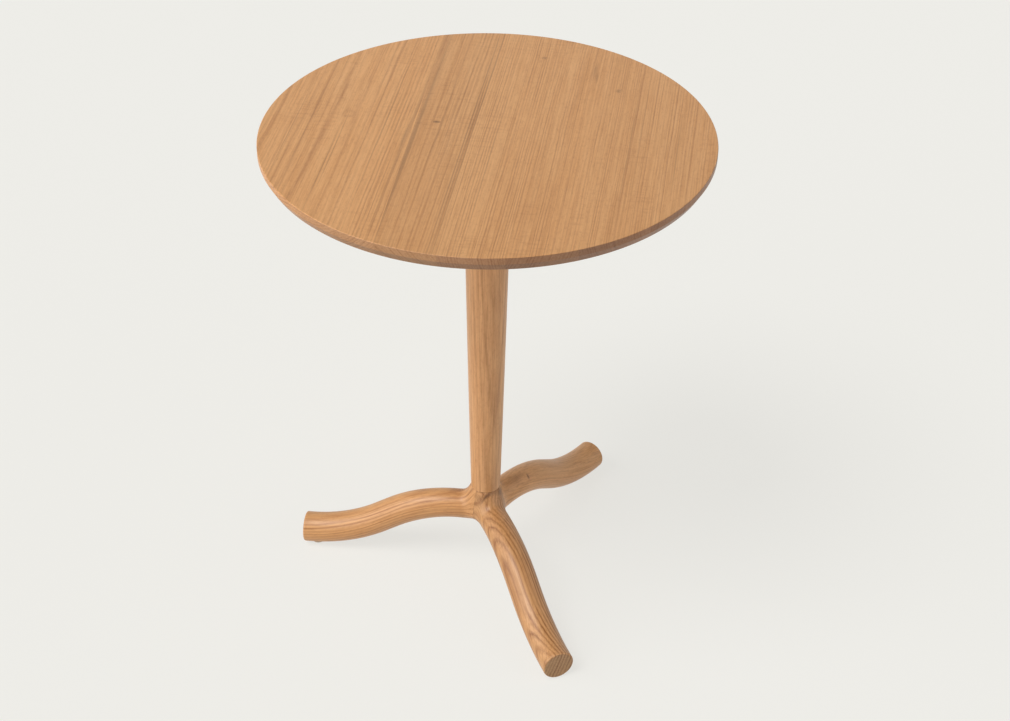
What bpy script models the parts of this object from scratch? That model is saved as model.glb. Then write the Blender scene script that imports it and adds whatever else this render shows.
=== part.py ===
"""Round side table: a solid-wood top on a turned, tapered column and three sculpted legs.

The three legs are mitred to each other on the column's axis and flow together in carved webs. Their round
backs sweep up to a flat shoulder, which the column stands on. A bolt from below draws the column down on
the legs, and a steel plate let into the underside of the top carries the top. Metres, +Z up, origin on the
floor under the column, with the front leg along -Y.
"""
from math import atan2, cos, hypot, pi, radians, sin, sqrt, tau

import bmesh
import bpy
from mathutils import Matrix, Vector

GAP = 0.0003                    # room between pieces that touch
OVERRUN = 0.002                 # how far a cutter runs past the face it opens

# Table top
TABLE_HEIGHT = 0.550
TOP_DIAMETER = 0.450
TOP_THICKNESS = 0.015
TOP_ARRIS = 0.0007              # softened upper edge
TOP_BAND = 0.007                # upright part of the rim, below the upper face
TOP_UNDERCUT = 0.0045           # how far the rim draws in below the band
TOP_GRAIN_TURN = radians(60.5)  # direction of the staves, from +X
STAVE_JOINT_SHARES = (-0.67, -0.33, -0.07, 0.20, 0.48, 0.75)  # glue lines, as shares of the top's radius

# Column
COLUMN_TOP_DIAMETER = 0.049
COLUMN_MIDDLE_DIAMETER = 0.0416
COLUMN_FOOT_DIAMETER = 0.0326
COLUMN_ARRIS = 0.0008

# Legs
LEG_AZIMUTHS = {"front": radians(-90), "right": radians(30), "left": radians(150)}
LEG_REACH = 0.210               # from the column's axis to the cut end
LEG_DIAMETER = 0.0344
LEG_HUB_DIAMETER = 0.0326       # slimmer where the legs meet
LEG_SWELL_RUN = 0.070           # length over which a leg gains its full diameter
LEG_ARRIS = 0.0018
LEG_LEVEL_RUN = 0.0025          # straight run between the carved web and the first bend
HUB_HEIGHT = 0.075              # height of the legs' centre lines at the column
LEG_BEND_SHARE = 0.99           # of the largest bends that fit, which would leave no straight between them
UPPER_BEND_SHARE = 0.475        # the upper bend's part of both bend radii
WEB_LENGTH = 0.016              # how far along a leg the carved web starts
SHOULDER_RISE = 0.0157          # height of the shoulder under the column above the legs' backs
SHOULDER_REACH = 0.032          # from the axis to where the backs start to sweep up
SWEEP_SHARES = (0.0, 0.12, 0.26, 0.45)  # rings on the sweep, from the column's surface outwards
FOOT_STANDOFF = 0.0008          # the glide's height showing below a leg

# Glides under the legs
GLIDE_DIAMETER = 0.014
GLIDE_PAD = 0.0025
GLIDE_STEM_DIAMETER = 0.005
GLIDE_STEM_LENGTH = 0.009
GLIDE_FROM_END = 0.014

# Dowels across the mitres
DOWEL_DIAMETER = 0.006
DOWEL_LENGTH = 0.020
DOWEL_FROM_AXIS = 0.0112
DOWEL_SPREAD = 0.0055           # above and below the centre line
DOWEL_ARRIS = 0.0007

# Bolts, washer and threaded inserts
BOLT_DIAMETER = 0.008
BOLT_HEAD_DIAMETER = 0.014
BOLT_HEAD_HEIGHT = 0.0044
BOLT_ARRIS = 0.0008
BOLT_TIP_BACK = 0.001           # the bolts end this far short of their inserts' ends
SOCKET_WIDTH = 0.005            # hexagon socket, across its corners
SOCKET_DEPTH = 0.0026
WASHER_DIAMETER = 0.017
WASHER_THICKNESS = 0.0016
COUNTERBORE_DEPTH = 0.006
INSERT_DIAMETER = 0.012
INSERT_LENGTH = 0.016
INSERT_INSET = 0.0012
INSERT_ARRIS = 0.0006

# Mounting plate and its screws
PLATE_DIAMETER = 0.120
PLATE_THICKNESS = 0.004
PLATE_ARRIS = 0.0005
PLATE_BOLT_HEAD_DIAMETER = 0.015
SCREW_CIRCLE_DIAMETER = 0.092
SCREW_COUNT = 6
SCREW_DIAMETER = 0.004
SCREW_HEAD_DIAMETER = 0.0076
SCREW_SINK = 0.0002             # heads sit this far inside the plate
SCREW_COVER = 0.003             # wood left above the screw tips
SCREW_POINT = 0.003             # length of the taper at a screw's tip
SCREW_TIP_SHARE = 0.25          # the tip's width, as a share of the screw's
SLOT_TRAVEL = 0.003             # room for the top to move across its grain

# Counts
TOP_SIDES = 96
COLUMN_SIDES = 36
COLUMN_STEPS = 12
LEG_SIDES = 28
WEB_STEPS = 4
BEND_STEPS = 8
ROUND_SIDES = 24
PLATE_SIDES = 40
SMALL_SIDES = 16
HEXAGON = 6

SMOOTH_ANGLE = radians(35)
MITRE_ANGLE = radians(60)       # half the angle between two legs

# Places worked out from the sizes
TOP_RADIUS = TOP_DIAMETER / 2
UNDERSIDE = TABLE_HEIGHT - TOP_THICKNESS
COLUMN_TOP = UNDERSIDE - GAP
HUB_RADIUS = LEG_HUB_DIAMETER / 2
LEG_RADIUS = LEG_DIAMETER / 2
HUB_TOP = HUB_HEIGHT + HUB_RADIUS
HUB_BOTTOM = HUB_HEIGHT - HUB_RADIUS
SHOULDER = HUB_TOP + SHOULDER_RISE
COLUMN_FOOT = SHOULDER + GAP
COLUMN_FOOT_RADIUS = COLUMN_FOOT_DIAMETER / 2
FOOT_AXIS_HEIGHT = LEG_RADIUS + FOOT_STANDOFF
WASHER_SEAT = HUB_BOTTOM + COUNTERBORE_DEPTH
WASHER_BOTTOM = WASHER_SEAT - GAP - WASHER_THICKNESS
BORE_RADIUS = BOLT_DIAMETER / 2 + GAP
FOOT_INSERT_BOTTOM = COLUMN_FOOT + INSERT_INSET
TOP_INSERT_TOP = COLUMN_TOP - INSERT_INSET

WOOD = {"colour": (0.56, 0.30, 0.13), "roughness": 0.5, "metallic": 0.0}
DOWEL_WOOD = {"colour": (0.62, 0.42, 0.25), "roughness": 0.7, "metallic": 0.0}
STEEL = {"colour": (0.55, 0.55, 0.54), "roughness": 0.35, "metallic": 1.0}
BLACK_STEEL = {"colour": (0.03, 0.03, 0.03), "roughness": 0.5, "metallic": 0.3}
BRASS = {"colour": (0.72, 0.52, 0.22), "roughness": 0.35, "metallic": 1.0}
NYLON = {"colour": (0.10, 0.08, 0.06), "roughness": 0.6, "metallic": 0.0}


def clear_scene():
    """Removes every object that the file opened with."""
    for thing in list(bpy.data.objects):
        bpy.data.objects.remove(thing)


def ring(radius, height, sides):
    """A level circle of points round the Z axis, with no point on the X axis."""
    step = tau / sides
    angles = [(i + 0.5) * step for i in range(sides)]
    return [Vector((radius * cos(a), radius * sin(a), height)) for a in angles]


def loft(rings, closed=False, first_faces=None):
    """A skin over rings of points. Its ends are capped, or joined to each other when closed.

    first_faces gives the caps of the first ring as lists of point numbers, where one flat cap won't do.
    """
    bm = bmesh.new()
    loops = [[bm.verts.new(point) for point in points] for points in rings]
    pairs = list(zip(loops, loops[1:]))
    if closed:
        pairs.append((loops[-1], loops[0]))
    for near, far in pairs:
        for i, corner in enumerate(near):
            j = (i + 1) % len(near)
            bm.faces.new((corner, near[j], far[j], far[i]))
    if not closed:
        for numbers in first_faces or [range(len(loops[0]))]:
            bm.faces.new([loops[0][i] for i in numbers])
        bm.faces.new(loops[-1])
    bmesh.ops.recalc_face_normals(bm, faces=bm.faces)
    return bm


def turned(profile, sides, closed=False):
    """A solid turned about Z from (radius, height) points, or a tube from a closed profile."""
    return loft([ring(radius, height, sides) for radius, height in profile], closed)


def moved(bm, matrix):
    """The same mesh at another place."""
    bm.transform(matrix)
    return bm


def gathered(meshes):
    """One mesh of several that don't touch."""
    whole = bmesh.new()
    for bm in meshes:
        piece = bpy.data.meshes.new("piece")
        bm.to_mesh(piece)
        bm.free()
        whole.from_mesh(piece)
        bpy.data.meshes.remove(piece)
    return whole


def material(name, finish):
    """A Principled BSDF material of a plain colour, made once."""
    if name in bpy.data.materials:
        return bpy.data.materials[name]
    made = bpy.data.materials.new(name)
    made.use_nodes = True
    shader = made.node_tree.nodes["Principled BSDF"]
    shader.inputs["Base Color"].default_value = (*finish["colour"], 1.0)
    shader.inputs["Roughness"].default_value = finish["roughness"]
    shader.inputs["Metallic"].default_value = finish["metallic"]
    return made


def add_piece(name, bm, material_name, finish, turn=0.0):
    """An object with its own material, turned about Z to its place."""
    mesh = bpy.data.meshes.new(name)
    bm.to_mesh(mesh)
    bm.free()
    mesh.shade_smooth()
    mesh.set_sharp_from_angle(angle=SMOOTH_ANGLE)
    mesh.materials.append(material(material_name, finish))
    piece = bpy.data.objects.new(name, mesh)
    piece.rotation_euler.z = turn
    bpy.context.scene.collection.objects.link(piece)
    return piece


def add_cutter(name, bm, turn=0.0):
    """A tool shape that only cuts others."""
    mesh = bpy.data.meshes.new(name)
    bm.to_mesh(mesh)
    bm.free()
    cutter = bpy.data.objects.new(name, mesh)
    cutter.rotation_euler.z = turn
    cutter.hide_render = True
    cutter.display_type = "WIRE"
    bpy.context.scene.collection.objects.link(cutter)
    return cutter


def carve(piece, cutter):
    """Takes a cutter's shape out of a piece."""
    cut = piece.modifiers.new(cutter.name, "BOOLEAN")
    cut.operation = "DIFFERENCE"
    cut.object = cutter


def plug(radius, bottom, top, sides):
    """A plain upright cylinder."""
    return turned([(radius, bottom), (radius, top)], sides)


def top_profile():
    """The turned edge of the top: an arris, an upright band and an undercut below it."""
    return [
        (TOP_RADIUS - TOP_ARRIS, TABLE_HEIGHT),
        (TOP_RADIUS, TABLE_HEIGHT - TOP_ARRIS),
        (TOP_RADIUS, TABLE_HEIGHT - TOP_BAND),
        (TOP_RADIUS - TOP_UNDERCUT, UNDERSIDE),
    ]


def cut_flat(bm, offset, keep):
    """Cuts across the staves at an offset from the centre and keeps one side: +1 above it, -1 below."""
    across = Vector((sin(TOP_GRAIN_TURN), -cos(TOP_GRAIN_TURN), 0))
    everything = bm.verts[:] + bm.edges[:] + bm.faces[:]
    cut = bmesh.ops.bisect_plane(
        bm, geom=everything, plane_co=across * offset, plane_no=-keep * across, clear_outer=True
    )
    rim = [edge for edge in cut["geom_cut"] if isinstance(edge, bmesh.types.BMEdge)]
    bmesh.ops.contextual_create(bm, geom=rim)


def make_top(screw_places):
    """The staves of the top, let out on their underside for the plate and its screws."""
    recess = add_cutter(
        "cut_plate_recess",
        plug(PLATE_DIAMETER / 2 + GAP, UNDERSIDE - OVERRUN, UNDERSIDE + PLATE_THICKNESS + GAP, TOP_SIDES),
    )
    pilot_top = TABLE_HEIGHT - SCREW_COVER + GAP
    pilots = [
        moved(plug(SCREW_DIAMETER / 2 + GAP, UNDERSIDE, pilot_top, SMALL_SIDES), Matrix.Translation(place))
        for place in screw_places
    ]
    pilots = add_cutter("cut_screw_pilots", gathered(pilots))
    joints = [share * TOP_RADIUS for share in STAVE_JOINT_SHARES]
    for number in range(len(joints) + 1):
        bm = turned(top_profile(), TOP_SIDES)
        if number > 0:
            cut_flat(bm, joints[number - 1] + GAP / 2, 1)
        if number < len(joints):
            cut_flat(bm, joints[number] - GAP / 2, -1)
        bmesh.ops.recalc_face_normals(bm, faces=bm.faces)
        stave = add_piece(f"top_stave_{number + 1}", bm, f"stave_wood_{number + 1}", WOOD)
        carve(stave, recess)
        carve(stave, pilots)


def screw_layout():
    """Where the plate's screws stand, and whether each hole is a slot across the grain."""
    layout = []
    for number in range(SCREW_COUNT):
        angle = TOP_GRAIN_TURN + number * tau / SCREW_COUNT
        place = Vector((cos(angle), sin(angle), 0)) * SCREW_CIRCLE_DIAMETER / 2
        layout.append((place, number % (SCREW_COUNT // 2) != 0))
    return layout


def screw_profile(grow=0.0, reach=0.0):
    """A countersunk wood screw, head down. grow widens it and reach lengthens its head for a cutter."""
    head = UNDERSIDE + SCREW_SINK
    head_radius = SCREW_HEAD_DIAMETER / 2
    shank_radius = SCREW_DIAMETER / 2
    neck = head + head_radius - shank_radius
    tip = TABLE_HEIGHT - SCREW_COVER
    return [
        (head_radius + grow, head - reach),
        (head_radius + grow, head),
        (shank_radius + grow, neck),
        (shank_radius + grow, tip - SCREW_POINT),
        (shank_radius * SCREW_TIP_SHARE + grow, tip + grow),
    ]


def widened(bm, travel):
    """Pulls a turned cutter apart along Y, which makes its round hole a slot."""
    for vert in bm.verts:
        vert.co.y += travel / 2 if vert.co.y > 0 else -travel / 2
    return bm


def make_plate(layout):
    """The steel plate, its six wood screws and the bolt that holds it on the column."""
    bottom = UNDERSIDE
    top = UNDERSIDE + PLATE_THICKNESS
    radius = PLATE_DIAMETER / 2
    head_radius = PLATE_BOLT_HEAD_DIAMETER / 2
    head_height = head_radius - BOLT_DIAMETER / 2
    profile = [
        (radius - PLATE_ARRIS, bottom),
        (radius, bottom + PLATE_ARRIS),
        (radius, top - PLATE_ARRIS),
        (radius - PLATE_ARRIS, top),
        (head_radius + 2 * GAP, top),
        (BORE_RADIUS, top - head_height - GAP),
        (BORE_RADIUS, bottom),
    ]
    plate = add_piece("mounting_plate", turned(profile, PLATE_SIDES, closed=True), "black_steel", BLACK_STEEL)
    holes = []
    for place, slotted in layout:
        hole = turned(screw_profile(GAP, OVERRUN), SMALL_SIDES)
        if slotted:
            hole = widened(hole, SLOT_TRAVEL)
        across_grain = Matrix.Rotation(TOP_GRAIN_TURN, 4, "Z")
        holes.append(moved(hole, Matrix.Translation(place) @ across_grain))
    carve(plate, add_cutter("cut_plate_holes", gathered(holes)))
    for number, (place, _) in enumerate(layout):
        screw = moved(turned(screw_profile()[1:], SMALL_SIDES), Matrix.Translation(place))
        add_piece(f"plate_screw_{number + 1}", screw, "zinc_steel_screws", STEEL)
    tip = TOP_INSERT_TOP - INSERT_LENGTH + BOLT_TIP_BACK
    bolt_radius = BOLT_DIAMETER / 2
    profile = [
        (bolt_radius - BOLT_ARRIS, tip),
        (bolt_radius, tip + BOLT_ARRIS),
        (bolt_radius, top - GAP - head_height),
        (head_radius, top - GAP),
    ]
    bolt = add_piece("plate_bolt", turned(profile, ROUND_SIDES), "zinc_steel_plate_bolt", STEEL)
    socket = plug(SOCKET_WIDTH / 2, top - GAP - SOCKET_DEPTH, top + OVERRUN, HEXAGON)
    carve(bolt, add_cutter("cut_plate_bolt_socket", socket))


def column_radius(height):
    """The turned column's radius: one curve through its three diameters."""
    share = (COLUMN_TOP - height) / (COLUMN_TOP - COLUMN_FOOT)
    return (
        COLUMN_TOP_DIAMETER / 2 * (1 - share) * (1 - 2 * share)
        + COLUMN_MIDDLE_DIAMETER / 2 * 4 * share * (1 - share)
        + COLUMN_FOOT_DIAMETER / 2 * share * (2 * share - 1)
    )


def make_column():
    """The turned column, bored at both ends for its inserts."""
    shaft = COLUMN_TOP - COLUMN_ARRIS - COLUMN_FOOT
    heights = [COLUMN_FOOT + shaft * i / COLUMN_STEPS for i in range(COLUMN_STEPS + 1)]
    profile = [(column_radius(height), height) for height in heights]
    profile.append((column_radius(COLUMN_TOP) - COLUMN_ARRIS, COLUMN_TOP))
    column = add_piece("column", turned(profile, COLUMN_SIDES), "column_wood", WOOD)
    insert_radius = INSERT_DIAMETER / 2 + GAP
    foot_bore_top = FOOT_INSERT_BOTTOM + INSERT_LENGTH + GAP
    foot_bore = plug(insert_radius, COLUMN_FOOT - OVERRUN, foot_bore_top, ROUND_SIDES)
    top_bore = plug(insert_radius, TOP_INSERT_TOP - INSERT_LENGTH - GAP, COLUMN_TOP + OVERRUN, ROUND_SIDES)
    carve(column, add_cutter("cut_insert_bores", gathered([foot_bore, top_bore])))


def insert_tube(bottom):
    """A threaded insert, drawn as a plain tube with softened ends."""
    radius = INSERT_DIAMETER / 2
    top = bottom + INSERT_LENGTH
    profile = [
        (radius - INSERT_ARRIS, bottom),
        (radius, bottom + INSERT_ARRIS),
        (radius, top - INSERT_ARRIS),
        (radius - INSERT_ARRIS, top),
        (BORE_RADIUS, top),
        (BORE_RADIUS, bottom),
    ]
    return turned(profile, ROUND_SIDES, closed=True)


def make_column_fittings():
    """The two inserts, and the bolt and washer under the hub."""
    add_piece("insert_foot", insert_tube(FOOT_INSERT_BOTTOM), "insert_brass_foot", BRASS)
    add_piece("insert_top", insert_tube(TOP_INSERT_TOP - INSERT_LENGTH), "insert_brass_top", BRASS)
    washer = [
        (WASHER_DIAMETER / 2, WASHER_BOTTOM),
        (WASHER_DIAMETER / 2, WASHER_BOTTOM + WASHER_THICKNESS),
        (BORE_RADIUS, WASHER_BOTTOM + WASHER_THICKNESS),
        (BORE_RADIUS, WASHER_BOTTOM),
    ]
    add_piece("hub_washer", turned(washer, ROUND_SIDES, closed=True), "zinc_steel_washer", STEEL)
    seat = WASHER_BOTTOM - GAP
    tip = FOOT_INSERT_BOTTOM + INSERT_LENGTH - BOLT_TIP_BACK
    head_radius = BOLT_HEAD_DIAMETER / 2
    bolt_radius = BOLT_DIAMETER / 2
    bolt = [
        (head_radius - BOLT_ARRIS, seat - BOLT_HEAD_HEIGHT),
        (head_radius, seat - BOLT_HEAD_HEIGHT + BOLT_ARRIS),
        (head_radius, seat),
        (bolt_radius, seat),
        (bolt_radius, tip - BOLT_ARRIS),
        (bolt_radius - BOLT_ARRIS, tip),
    ]
    bolt = add_piece("hub_bolt", turned(bolt, ROUND_SIDES), "zinc_steel_hub_bolt", STEEL)
    socket = plug(
        SOCKET_WIDTH / 2, seat - BOLT_HEAD_HEIGHT - OVERRUN, seat - BOLT_HEAD_HEIGHT + SOCKET_DEPTH, HEXAGON
    )
    carve(bolt, add_cutter("cut_hub_bolt_socket", socket))


def web_ring(part):
    """One ring of a leg's carved inner end. part runs from 0 on the mitres to 1 where the web starts.

    In plan each line of the round leg leaves its straight run and turns out to meet its neighbour's line
    square to the mitre, on a parabola whose corner is the crease between two plain cylinders. The web is
    full at the leg's sides and dies out on its back and belly.
    """
    points = []
    along = (1 - part) / 2
    inset = GAP / 2 * (1 - part)
    for number in range(LEG_SIDES):
        angle = number * tau / LEG_SIDES
        width = HUB_RADIUS * abs(cos(angle))
        side = 1 if cos(angle) > 0 else -1
        web = WEB_LENGTH * cos(angle) ** 2
        crease = Vector((width * cos(MITRE_ANGLE) / sin(MITRE_ANGLE), width))
        start = crease + Vector((web, 0))
        mirrored = crease + Vector((web * cos(2 * MITRE_ANGLE), web * sin(2 * MITRE_ANGLE)))
        place = start * (1 - along) ** 2 + crease * 2 * along * (1 - along) + mirrored * along**2
        place.x += LEG_LEVEL_RUN / 2 * part**2
        if number % (LEG_SIDES // 2) == LEG_SIDES // 4:
            place = place + Vector((inset / sin(MITRE_ANGLE), -place.y))
        else:
            place = place + Vector((inset * sin(MITRE_ANGLE), -inset * cos(MITRE_ANGLE)))
        points.append(Vector((place.x, side * place.y, HUB_HEIGHT + HUB_RADIUS * sin(angle))))
    return points


def back_ring(inner, outer, sweep_share):
    """A ring between the web and the first round section, placed by its distance out on the sweep."""
    distance = COLUMN_FOOT_RADIUS + (SHOULDER_REACH - COLUMN_FOOT_RADIUS) * sweep_share
    ridge = LEG_SIDES // 4
    share = (distance - inner[ridge].x) / (outer[ridge].x - inner[ridge].x)
    return [near.lerp(far, share) for near, far in zip(inner, outer)]


def swept_up(point):
    """A point of a leg's back, lifted towards the shoulder that the column stands on."""
    out = (hypot(point.x, point.y) - COLUMN_FOOT_RADIUS) / (SHOULDER_REACH - COLUMN_FOOT_RADIUS)
    sweep = (1 - min(max(out, 0), 1)) ** 3
    above = min(max(2 * (point.z - HUB_HEIGHT) / HUB_RADIUS, 0), 1)
    return point + Vector((0, 0, (SHOULDER - point.z) * sweep * above))


def section(distance, height, slope, radius):
    """A round section of a leg, square to its centre line."""
    points = []
    for number in range(LEG_SIDES):
        angle = number * tau / LEG_SIDES
        lift = radius * sin(angle)
        points.append(Vector((distance + lift * sin(slope), radius * cos(angle), height + lift * cos(slope))))
    return points


def leg_course():
    """Stations along a leg's centre line: distance from the axis, height and slope.

    The line is level at the hub and at the foot. Between them a bend down and a bend back to level take
    up the whole run, with a short straight where they meet.
    """
    start = HUB_RADIUS / sqrt(3) + WEB_LENGTH + LEG_LEVEL_RUN
    end = LEG_REACH - LEG_ARRIS
    run = end - start
    drop = HUB_HEIGHT - FOOT_AXIS_HEIGHT
    chord_squared = run**2 + drop**2
    bends = LEG_BEND_SHARE * chord_squared / (2 * drop)
    straight = sqrt(chord_squared - 2 * drop * bends)
    slope = atan2(drop - bends, run) + atan2(bends, straight)
    upper = UPPER_BEND_SHARE * bends
    lower = bends - upper
    angles = [slope * i / BEND_STEPS for i in range(BEND_STEPS + 1)]
    course = [(start + upper * sin(a), HUB_HEIGHT - upper * (1 - cos(a)), a) for a in angles]
    course += [(end - lower * sin(a), FOOT_AXIS_HEIGHT + lower * (1 - cos(a)), a) for a in reversed(angles)]
    return course


def swell(distance, start):
    """A leg's radius, growing smoothly from the hub's to its own."""
    share = min(1.0, (distance - start) / LEG_SWELL_RUN)
    return HUB_RADIUS + (LEG_RADIUS - HUB_RADIUS) * share**2 * (3 - 2 * share)


def leg_end_faces():
    """The two flat mitre faces of a leg's inner end, which share its upright middle edge."""
    quarter = LEG_SIDES // 4
    one_side = [(i - quarter) % LEG_SIDES for i in range(LEG_SIDES // 2 + 1)]
    other_side = [i + quarter for i in range(LEG_SIDES // 2 + 1)]
    return [one_side, other_side]


def leg_mesh():
    """A leg along +X: mitred and carved at the hub, bent down and back to level, and cut square."""
    course = leg_course()
    start = course[0][0]
    rings = [web_ring(i / WEB_STEPS) for i in range(WEB_STEPS + 1)]
    sections = [section(x, height, slope, swell(x, start)) for x, height, slope in course]
    rings += [back_ring(rings[-1], sections[0], share) for share in SWEEP_SHARES]
    rings += sections
    rings.append(section(LEG_REACH, FOOT_AXIS_HEIGHT, 0.0, LEG_RADIUS - LEG_ARRIS))
    return loft([[swept_up(point) for point in points] for points in rings], first_faces=leg_end_faces())


def dowel_places():
    """Where the dowels cross each mitre, by name."""
    places = {}
    names = list(LEG_AZIMUTHS)
    for number, name in enumerate(names):
        joint = LEG_AZIMUTHS[name] + MITRE_ANGLE
        across = Matrix.Rotation(joint, 4, "Z")
        for level, sign in (("upper", 1), ("lower", -1)):
            centre = Matrix.Translation((DOWEL_FROM_AXIS, 0, HUB_HEIGHT + sign * DOWEL_SPREAD))
            other = names[(number + 1) % len(names)]
            places[f"dowel_{name}_{other}_{level}"] = across @ centre @ Matrix.Rotation(pi / 2, 4, "X")
    return places


def glide_place(azimuth):
    """The foot of a glide's axis."""
    distance = LEG_REACH - GLIDE_FROM_END
    return Matrix.Translation((distance * cos(azimuth), distance * sin(azimuth), 0))


def make_legs():
    """The three legs, bored for dowels, bolt, washer and glides."""
    bore = turned(
        [
            (WASHER_DIAMETER / 2 + GAP, HUB_BOTTOM - OVERRUN),
            (WASHER_DIAMETER / 2 + GAP, WASHER_SEAT),
            (BORE_RADIUS, WASHER_SEAT),
            (BORE_RADIUS, SHOULDER + OVERRUN),
        ],
        ROUND_SIDES,
    )
    dowel_half = DOWEL_LENGTH / 2 + GAP
    holes = [bore]
    for place in dowel_places().values():
        holes.append(moved(plug(DOWEL_DIAMETER / 2 + GAP, -dowel_half, dowel_half, SMALL_SIDES), place))
    for azimuth in LEG_AZIMUTHS.values():
        seat = turned(
            [
                (GLIDE_DIAMETER / 2 + GAP, -OVERRUN),
                (GLIDE_DIAMETER / 2 + GAP, GLIDE_PAD + GAP),
                (GLIDE_STEM_DIAMETER / 2 + GAP, GLIDE_PAD + GAP),
                (GLIDE_STEM_DIAMETER / 2 + GAP, GLIDE_PAD + GLIDE_STEM_LENGTH + GAP),
            ],
            ROUND_SIDES,
        )
        holes.append(moved(seat, glide_place(azimuth)))
    holes = add_cutter("cut_leg_holes", gathered(holes))
    for name, azimuth in LEG_AZIMUTHS.items():
        carve(add_piece(f"leg_{name}", leg_mesh(), f"leg_wood_{name}", WOOD, azimuth), holes)


def make_dowels():
    """The dowels that line up the mitres, with chamfered ends."""
    half = DOWEL_LENGTH / 2
    radius = DOWEL_DIAMETER / 2
    profile = [
        (radius - DOWEL_ARRIS, -half),
        (radius, -half + DOWEL_ARRIS),
        (radius, half - DOWEL_ARRIS),
        (radius - DOWEL_ARRIS, half),
    ]
    for name, place in dowel_places().items():
        add_piece(name, moved(turned(profile, SMALL_SIDES), place), "dowel_beech", DOWEL_WOOD)


def make_glides():
    """A nylon glide under each leg: a pad to stand on and a stem pressed into the wood."""
    profile = [
        (GLIDE_DIAMETER / 2, 0),
        (GLIDE_DIAMETER / 2, GLIDE_PAD),
        (GLIDE_STEM_DIAMETER / 2, GLIDE_PAD),
        (GLIDE_STEM_DIAMETER / 2, GLIDE_PAD + GLIDE_STEM_LENGTH),
    ]
    for name, azimuth in LEG_AZIMUTHS.items():
        add_piece(f"glide_{name}", moved(turned(profile, ROUND_SIDES), glide_place(azimuth)), "nylon", NYLON)


def main():
    """Builds the table from the top down."""
    clear_scene()
    layout = screw_layout()
    make_top([place for place, _ in layout])
    make_plate(layout)
    make_column()
    make_column_fittings()
    make_legs()
    make_dowels()
    make_glides()


main()
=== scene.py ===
"""Looks of a round side table in oiled solid wood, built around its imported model.

The table has a top of seven edge-glued staves, one turned column and three sculpted legs that are mitred to
each other and sweep up to a shoulder, on which the column stands. Every wooden part is a board with its own
figure: growth rings that run through the solid, so that the pattern on each face follows from how the part
was cut. Lengths are in metres, +Z is up, and the origin is on the floor under the column, with the front leg
along -Y.
"""

import logging
from dataclasses import dataclass, replace
from enum import Enum
from math import asin, atan2, cos, hypot, pi, radians, sin, sqrt

import bmesh
import bpy
from bmesh.types import BMEdge, BMesh, BMFace, BMVert
from bpy.types import ID, Material, Mesh, Node, NodeSocket, Object
from mathutils import Matrix, Vector


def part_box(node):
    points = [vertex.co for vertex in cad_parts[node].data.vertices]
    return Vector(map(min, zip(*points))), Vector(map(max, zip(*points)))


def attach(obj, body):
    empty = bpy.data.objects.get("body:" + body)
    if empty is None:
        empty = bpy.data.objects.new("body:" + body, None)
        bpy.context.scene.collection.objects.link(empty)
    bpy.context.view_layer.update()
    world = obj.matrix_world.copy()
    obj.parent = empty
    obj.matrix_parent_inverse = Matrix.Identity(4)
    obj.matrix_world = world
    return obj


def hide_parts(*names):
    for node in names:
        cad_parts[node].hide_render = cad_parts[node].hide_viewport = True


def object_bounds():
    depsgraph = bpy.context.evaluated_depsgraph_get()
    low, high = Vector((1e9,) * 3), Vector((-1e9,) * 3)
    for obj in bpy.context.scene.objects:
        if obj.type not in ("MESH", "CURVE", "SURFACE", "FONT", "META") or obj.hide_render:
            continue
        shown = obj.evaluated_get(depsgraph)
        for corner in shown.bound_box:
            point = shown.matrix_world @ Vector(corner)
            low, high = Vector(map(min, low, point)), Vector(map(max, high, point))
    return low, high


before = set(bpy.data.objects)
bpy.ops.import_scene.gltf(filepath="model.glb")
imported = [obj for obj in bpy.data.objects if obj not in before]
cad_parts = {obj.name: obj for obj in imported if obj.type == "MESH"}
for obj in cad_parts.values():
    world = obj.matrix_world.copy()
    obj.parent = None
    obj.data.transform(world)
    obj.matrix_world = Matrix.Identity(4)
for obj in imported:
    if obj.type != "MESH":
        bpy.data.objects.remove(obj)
CAD_LOW, CAD_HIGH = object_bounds()

log = logging.getLogger("side_table")

BODY = "root"
SMOOTH_ANGLE = radians(35)
ROUND_SEGMENTS = 4
BORE_SEGMENTS = 64
TOUCHING = 1e-7                  # points closer together than this are one
LEVEL = 1e-5                     # heights closer together than this are the same
COURSE = "course"                # mesh attribute: a leg's surface with its bends partly straightened
ROOT_3 = sqrt(3)
UP = Vector((0.0, 0.0, 1.0))
WHITE = (1.0, 1.0, 1.0, 1.0)

Point = tuple[float, float, float]
Colour = tuple[float, float, float]


def srgb(red: int, green: int, blue: int) -> Colour:
    """Turns an eight-bit display colour into the linear values that a shader takes.

    Args:
        red: Red, from 0 to 255.
        green: Green, from 0 to 255.
        blue: Blue, from 0 to 255.

    Returns:
        The three linear values, from 0 to 1.
    """
    shares = [value / 255 for value in (red, green, blue)]
    return tuple(s / 12.92 if s <= 0.04045 else ((s + 0.055) / 1.055) ** 2.4 for s in shares)


def shaded(colour: Colour, share: float) -> Colour:
    """The colour at a share of its brightness."""
    return tuple(value * share for value in colour)


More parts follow.
